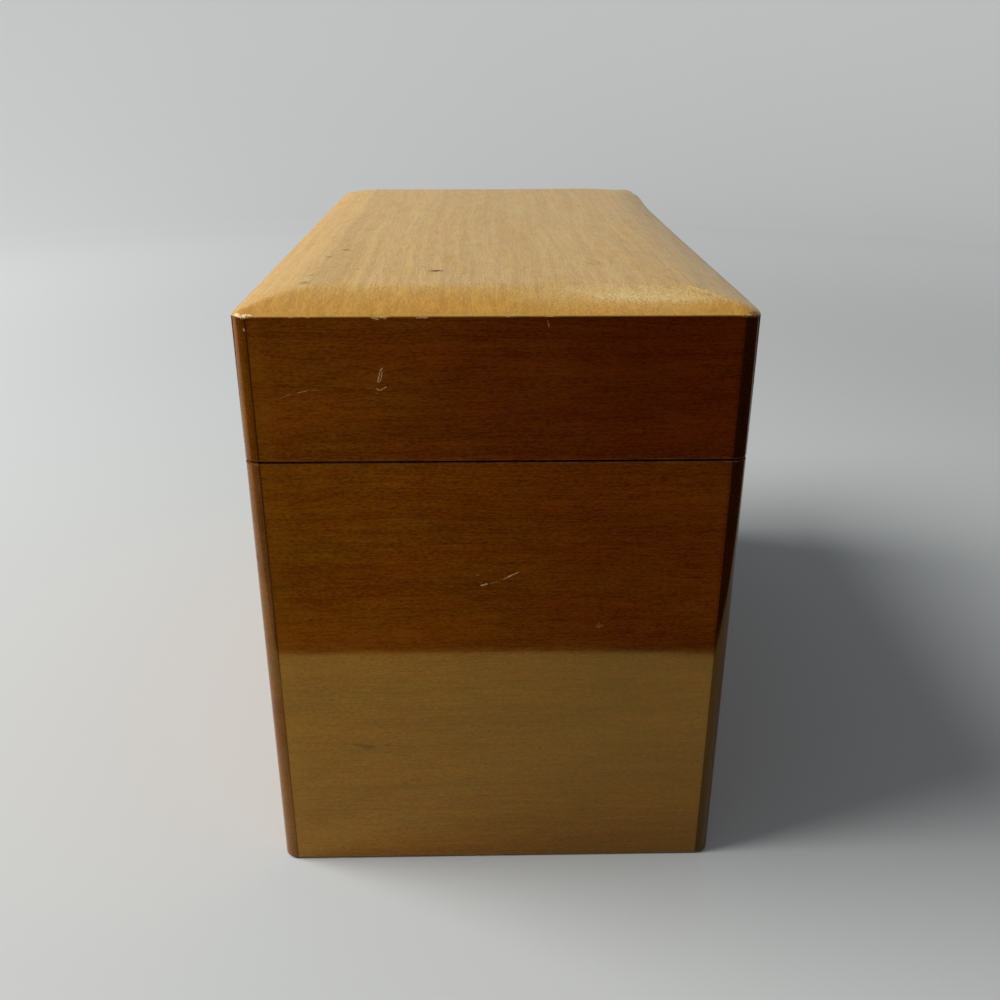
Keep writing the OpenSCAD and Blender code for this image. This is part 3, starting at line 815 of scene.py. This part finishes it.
# So was the joint between the lid's rails and its top board
def atGlueLine(point):
    underTop = abs(point.z - railHigh.z) < edgeFinish["glueLevel"] and insetOf(point) < mm
    return underTop or atCornerJoint(point)


def closeCornerJoints(work):
    for vert in work.verts:
        if atCornerJoint(vert.co):
            side = math.copysign(edgeFinish["glueLeft"], abs(vert.co.x) / mm - jointPlace)
            vert.co.x = math.copysign(jointPlace + side, vert.co.x) * mm


def finishedMesh(name, node, rounding, wear):
    work = bmesh.new()
    work.from_mesh(nodes[node].data)
    bmesh.ops.remove_doubles(work, verts=work.verts, dist=edgeFinish["weld"])
    flat = math.radians(edgeFinish["flatAngle"])
    bmesh.ops.dissolve_limit(work, angle_limit=flat, verts=work.verts[:], edges=work.edges[:])

    def edgesToRound():
        limit = math.radians(edgeFinish["sharpAngle"])
        return [
            edge for edge in work.edges
            if edge.calc_face_angle() > limit
            and (edge.calc_length() > edgeFinish["shortEdge"] or all(inCornerZone(v.co) for v in edge.verts))
            and not all(atGlueLine(v.co) for v in edge.verts)
        ]

    if wear:
        for edge in edgesToRound():
            cuts = int(edge.calc_length() / edgeFinish["cut"])
            if cuts:
                bmesh.ops.subdivide_edges(work, edges=[edge], cuts=cuts)
    bmesh.ops.bevel(
        work, geom=edgesToRound(), offset=rounding, offset_type="OFFSET",
        segments=edgeFinish["roundSteps"], profile=0.5, affect="EDGES", clamp_overlap=False,
    )
    if wear:
        wearEdges(work, wear)
    closeCornerJoints(work)
    return meshFrom(work, name)


# Makes the mesh, with edges that shade as sharp where its faces turn too far
def meshFrom(work, name):
    for edge in work.edges:
        edge.smooth = edge.calc_face_angle(0) < math.radians(edgeFinish["shadeAngle"])
    mesh = bpy.data.meshes.new(name)
    work.to_mesh(mesh)
    work.free()
    return mesh


# The narrow arris on both sides of the saw cut has lost its gloss and is painted dark as shade along the seam
def dullAndShadeSawnEdge(piece):
    piece.data.materials.append(shadedSawnEdge)
    for face in piece.data.polygons:
        middle = face.center
        beside = abs(middle.z / mm - seamLevel) < edgeFinish["sawnReach"]
        tilted = abs(face.normal.z) > edgeFinish["sawnTilt"]
        if beside and tilted and insetOf(middle) < edgeFinish["sawnDepth"]:
            face.material_index = 1


# Pushes the points of rounded edges in by an uneven amount, and keeps big flat faces flat
def wearEdges(work, depth):
    work.normal_update()
    moves = {}
    for vert in work.verts:
        flats = [face.normal for face in vert.link_faces if face.calc_area() > edgeFinish["bigFace"]]
        if len(flats) == len(vert.link_faces):
            continue
        spot = vert.co / mm
        amount = max(0, noise.noise(spot * 0.35) + 0.5 * noise.noise(spot * 1.1) + 0.25)
        move = -vert.normal * amount * depth
        for flat in flats:
            move -= flat * move.dot(flat)
        moves[vert] = move
    for vert, move in moves.items():
        vert.co += move


boards = {
    "rounding": 0.05 * mm,
    "wear": 0.05 * mm,
    "pieces": [
        ("frontBoard", "front_board", sideWoodCase, "case", "side_wood"),
        ("backBoard", "back_board", sideWoodCase, "case", "side_wood"),
        ("rightEndBoard", "right_end_board", endWoodCase, "case", "end_wood"),
        ("leftEndBoard", "left_end_board", endWoodCase, "case", "end_wood"),
        ("basePanel", "base_panel", baseWood, "case", "base_wood"),
        ("lidFrontRail", "lid_front_rail", sideWoodLid, "lid", "side_wood"),
        ("lidBackRail", "lid_back_rail", sideWoodLid, "lid", "side_wood"),
        ("lidRightEndRail", "lid_right_end_rail", endWoodLid, "lid", "end_wood"),
        ("lidLeftEndRail", "lid_left_end_rail", endWoodLid, "lid", "end_wood"),
    ],
}
for name, node, material, body, slot in boards["pieces"]:
    mesh = finishedMesh(name, node, boards["rounding"], boards["wear"])
    dullAndShadeSawnEdge(addPiece(name, mesh, material, body, node))
print("boards and rails done")

fittings = {"rounding": 0.05 * mm}
fittingPieces = [("baseBrads", "base_brads", bradSteel, "case", "brad_steel")]
for end in ("right", "left"):
    fittingPieces += [
        (end + "CaseLeaf", end + "_hinge_case_leaf", leafBrass, "case", "hinge_brass"),
        (end + "LidLeaf", end + "_hinge_lid_leaf", leafBrass, "lid", "hinge_brass"),
        (end + "HingePin", end + "_hinge_pin", pinBrass, "case", "pin_brass"),
        (end + "CaseScrews", end + "_hinge_case_screws", screwBrass, "case", "screw_brass"),
        (end + "LidScrews", end + "_hinge_lid_screws", screwBrass, "lid", "screw_brass"),
    ]
for name, node, material, body, slot in fittingPieces:
    addPiece(name, finishedMesh(name, node, fittings["rounding"], 0), material, body, node)
print("hinges, screws and brads done")


def softLeast(first, second, softness):
    overlap = max(softness - abs(first - second), 0) / softness
    return min(first, second) - overlap * overlap * softness / 4


# Level of the lid's top at a place: four bevels that meet a flat in softened ridges
def lidLevel(x, y):
    level = topHigh.z
    sides = (
        (x + halfWide, lidTop["softFront"]), (halfWide - x, lidTop["softBack"]),
        (y + halfLong, lidTop["softRight"]), (halfLong - y, lidTop["softLeft"]),
    )
    for depth, softness in sides:
        share = depth / lidTop["bevelWidth"]
        if share > 1.5:
            continue
        inside = max(share * (1 - share), 0)
        rounded = max(1 - share, 0) * (1 - math.exp(-max(share, 0) / lidTop["edgeShare"]))
        bevel = footLevel + lidTop["bevelFall"] * share
        bevel += lidTop["crown"] * 4 * inside + lidTop["edgeDrop"] * rounded
        level = softLeast(level, bevel, softness * 0.5)
    for spotX, spotY, reach, rise in lidTop["handWork"]:
        away = math.hypot(x / mm - spotX, y / mm - spotY)
        level += rise * mm * math.exp(-(away / reach) ** 2)
    return min(level, topHigh.z)


# Places across a span, close together where the corners turn
def spacedPlaces(half, radius, spacing):
    flat = half - radius
    turn = [flat + radius * math.sin(math.radians(a)) for a in range(15, 91, 15)]
    count = round(2 * flat / spacing)
    middle = [-flat + 2 * flat * i / count for i in range(count + 1)]
    return [-p for p in reversed(turn)] + middle + turn


def chipDepth(point):
    if point.y > -halfLong + lidTop["cornerRadius"]:
        return 0
    depth = 0
    for middle, half, chip in lidTop["chips"]:
        share = abs(point.x - middle) / half
        if share < 1:
            depth = max(depth, chip * (1 - share * share) * (0.7 + 0.6 * noise.noise(point / mm * 2.1)))
    return depth


# Points over the top in rows along the length, joined into faces
def lidTopGrid(work, wide, long, radius):
    columns = round(2 * wide / lidTop["gridStep"])
    grid = []
    for y in spacedPlaces(long, radius, lidTop["gridStep"] * 1.2):
        over = max(abs(y) - (long - radius), 0)
        reach = wide - radius + math.sqrt(max(radius * radius - over * over, 0))
        places = [reach * (2 * i / columns - 1) for i in range(columns + 1)]
        grid.append([work.verts.new((x, y, lidLevel(x, y))) for x in places])
    for low, high in zip(grid, grid[1:]):
        for i in range(columns):
            work.faces.new((low[i], low[i + 1], high[i + 1], high[i]))
    return grid


# Rings of points that round the outer edge, worn and chipped. The core is where its corners turn
def arrisRings(work, rim, core):
    inset = lidTop["arris"]
    rings = []
    for k in range(1, lidTop["arrisSteps"] + 1):
        turn = math.pi / 2 * k / lidTop["arrisSteps"]
        ring = []
        for vert in rim:
            nearest = Vector((
                max(-core.x, min(core.x, vert.co.x)), max(-core.y, min(core.y, vert.co.y)), vert.co.z,
            ))
            out = (vert.co - nearest).normalized()
            place = vert.co + out * inset * math.sin(turn) - Vector((0, 0, inset * (1 - math.cos(turn))))
            spot = place / mm
            worn = max(0, noise.noise(spot * 0.3) + 0.5 * noise.noise(spot * 1.3)) * lidTop["wear"]
            worn += chipDepth(place)
            place -= (out + Vector((0, 0, 1))) * worn * math.sin(2 * turn) * 0.7
            ring.append(work.verts.new(place))
        rings.append(ring)
    return rings


# A ring of the plug that drops between the rails
def plugRing(work, rim, inwards, level):
    plug = Vector((halfWide - boardThick - glueGap, halfLong - boardThick - glueGap, 0))
    return [
        work.verts.new((
            max(-plug.x + inwards, min(plug.x - inwards, vert.co.x)),
            max(-plug.y + inwards, min(plug.y - inwards, vert.co.y)),
            level,
        ))
        for vert in rim
    ]


def buildLidTop():
    work = bmesh.new()
    radius = lidTop["cornerRadius"] - lidTop["arris"]
    wide = halfWide - lidTop["arris"]
    long = halfLong - lidTop["arris"]
    grid = lidTopGrid(work, wide, long, radius)
    rim = grid[0][:-1] + [row[-1] for row in grid[:-1]] + grid[-1][:0:-1] + [row[0] for row in grid[:0:-1]]
    rings = [rim] + arrisRings(work, rim, Vector((wide - radius, long - radius, 0)))
    rings.append([work.verts.new((v.co.x, v.co.y, v.co.z - lidTop["closeRing"])) for v in rings[-1]])
    sideLow = railHigh.z + lidTop["overRails"]
    rings.append([work.verts.new((v.co.x, v.co.y, sideLow)) for v in rings[-1]])
    ease = lidTop["plugRound"]
    plugLevels = ((0, sideLow), (0, topLow.z + ease), (ease * 0.3, topLow.z + ease * 0.3), (ease, topLow.z))
    rings += [plugRing(work, rim, inwards, level) for inwards, level in plugLevels]
    for upper, lower in zip(rings, rings[1:]):
        for i in range(len(rim)):
            work.faces.new((upper[i - 1], lower[i - 1], lower[i], upper[i]))
    work.faces.new(list(reversed(rings[-1])))
    bmesh.ops.remove_doubles(work, verts=work.verts, dist=lidTop["weld"])
    bmesh.ops.recalc_face_normals(work, faces=work.faces)
    return meshFrom(work, "lidTop")


# The upright edge of the top board takes the dark colour of the rails below it, which is partly painted shade;
# over the hinges it reaches further up as painted shade
def darkenLidEdge(piece):
    piece.data.materials.append(endWoodLid)
    piece.data.materials.append(sideWoodLid)
    for face in piece.data.polygons:
        middle = face.center
        overHinges = middle.x > 0 and inCornerZone(middle)
        slope = lidTop["darkCornerSlope"] if overHinges else lidTop["darkSlope"]
        if abs(face.normal.z) < slope and insetOf(middle) < mm and middle.z > railHigh.z:
            face.material_index = 1 if abs(middle.x) / mm < jointPlace else 2


darkenLidEdge(addPiece("lidTop", buildLidTop(), topWood, "lid", "lid_top_panel"))
print("lid top done")


# The studio: a pale floor that sweeps up all round, and dark cards on it that only gloss sees
studio = {
    "floorRadius": 0.75,
    "wallRise": 0.9,
    "wallOut": 0.35,            # reach of the curve at the wall's foot
    "wallSteps": 12,
    "pale": (0.55, 0.56, 0.545),
    "cards": [                  # corners of each, the first before the end that the camera sees
        (
            (-0.6, -0.74), (-0.6, -0.146), (0.08, -0.146), (0.12, -0.13), (0.155, -0.09), (0.18, -0.04),
            (0.205, 0), (0.25, 0.03), (0.31, 0.045), (0.7, 0.045), (0.7, -0.74),
        ),
        ((0.6, 0.146), (-0.6, 0.146), (-0.6, 0.74), (0.6, 0.74)),
    ],
    "cardLevel": 0.3 * mm,
    "cardTone": (0.012, 0.008, 0.006),
    "keyPlace": (-0.75, -0.03, 0.80), "keyAim": (0, 0, 0.06), "keySize": 0.7, "keyPower": 14.2,
    "glowFrom": 0.28,           # how far out the floor begins to glow
    "lowGlow": 0.28,            # strength of the glow at the foot of the wall
    "wallGlow": 0.33,           # and from the next level up
    "glowRise": 0.22,
    "skyColor": (0.87, 0.93, 1.0), "skyStrength": 0.23,
}


def stagePiece(name, points, faces, material):
    mesh = bpy.data.meshes.new(name)
    mesh.from_pydata(points, [], faces)
    piece = newObject(name, mesh, material)
    return piece


# Rings of points round the middle, joined into bands
def lathe(rings, turns=96):
    points = [
        (radius * math.cos(2 * math.pi * i / turns), radius * math.sin(2 * math.pi * i / turns), level)
        for radius, level in rings for i in range(turns)
    ]
    faces = [
        (k * turns + i, k * turns + (i + 1) % turns, (k + 1) * turns + (i + 1) % turns, (k + 1) * turns + i)
        for k in range(len(rings) - 1) for i in range(turns)
    ]
    return points, faces


# Pale paper with a glow that the camera and gloss see, and that puts no light on the box
def paleMaterial(name, glow):
    material, tree, shader, place = newMaterial(name)
    tint = noiseOf(tree, place, (0.004, 0.004, 0.004), 2.0, 0.5)
    darker = tuple(0.97 * v for v in studio["pale"])
    rays = addNode(tree, "LightPath", {}).outputs
    seen = calc(tree, "MAXIMUM", rays["Is Camera Ray"], rays["Is Glossy Ray"])
    seen = calc(tree, "MAXIMUM", seen, rays["Is Transmission Ray"])
    feedAll(tree, shader.inputs, {
        "Base Color": mixColor(tree, tint, darker, studio["pale"]),
        "Roughness": 0.9, "Specular IOR Level": 0.0, "Emission Color": studio["pale"],
        "Emission Strength": calc(tree, "MULTIPLY", seen, glow(tree, place)),
    })
    return material


def floorGlow(tree, place):
    away = calcVector(tree, "LENGTH", place, out="Value")
    return step(tree, away, studio["glowFrom"] / mm, studio["floorRadius"] / mm, 0.0, studio["lowGlow"])


def wallGlow(tree, place):
    up = addNode(tree, "SeparateXYZ", {"Vector": place}).outputs[2]
    return step(tree, up, 0.0, studio["glowRise"] / mm, studio["lowGlow"], studio["wallGlow"])


floorRings = [(share * studio["floorRadius"], 0) for share in (0.001, 0.2, 0.5, 1.0)]
stagePiece("floor", *lathe(floorRings), paleMaterial("paleFloor", floorGlow))
wallRings = []
for k in range(studio["wallSteps"] + 1):
    turn = math.pi / 2 * k / studio["wallSteps"]
    wallRings.append((
        studio["floorRadius"] + studio["wallOut"] * math.sin(turn),
        studio["wallOut"] * (1 - math.cos(turn)),
    ))
wallRings.append((studio["floorRadius"] + studio["wallOut"], studio["wallRise"]))
wall = stagePiece("backdrop", *lathe(wallRings), paleMaterial("paleBackdrop", wallGlow))
wall.visible_diffuse = False

darkCard, tree, shader, _ = newMaterial("darkCard")
feedAll(tree, shader.inputs, {"Base Color": studio["cardTone"], "Roughness": 1.0, "Specular IOR Level": 0.0})
for number, corners in enumerate(studio["cards"], 1):
    points = [(x, y, studio["cardLevel"]) for x, y in corners]
    card = stagePiece("reflectedCard%d" % number, points, [tuple(range(len(points)))], darkCard)
    for ray in ("camera", "diffuse", "transmission", "volume_scatter", "shadow"):
        setattr(card, "visible_" + ray, False)

keyData = bpy.data.lights.new("key", "AREA")
keyData.shape = "DISK"
keyData.size = studio["keySize"]
keyData.energy = studio["keyPower"]
key = newObject("key", keyData)
key.location = studio["keyPlace"]
key.rotation_euler = (Vector(studio["keyAim"]) - key.location).to_track_quat("-Z", "Y").to_euler()

world = bpy.data.worlds.new("studioAir")
bpy.context.scene.world = world
world.use_nodes = True
sky = world.node_tree.nodes["Background"].inputs
feedAll(world.node_tree, sky, {"Color": studio["skyColor"], "Strength": studio["skyStrength"]})

# The camera stands where the photograph was taken from
view = {
    "lens": 36.743,
    "sensor": 36,          # width, in millimetres as the lens
    "near": 0.01,
    "far": 10,
    "place": (-2.70 * mm, -228.47 * mm, 142.13 * mm),
    "pitch": 23.4795,      # degrees down
    "yaw": 1.1641,         # degrees to the right
    "roll": 0.0528,
}
cameraData = bpy.data.cameras.new("camera")
cameraData.lens = view["lens"]
cameraData.sensor_width = view["sensor"]
cameraData.clip_start = view["near"]
cameraData.clip_end = view["far"]
camera = newObject("camera", cameraData)
camera.matrix_world = (
    Matrix.Translation(view["place"])
    @ Matrix.Rotation(-math.radians(view["yaw"]), 4, "Z")
    @ Matrix.Rotation(math.radians(90 - view["pitch"]), 4, "X")
    @ Matrix.Rotation(math.radians(view["roll"]), 4, "Z")
)
bpy.context.scene.camera = camera
bpy.context.scene.view_settings.view_transform = "Standard"
print("studio, light and camera set")
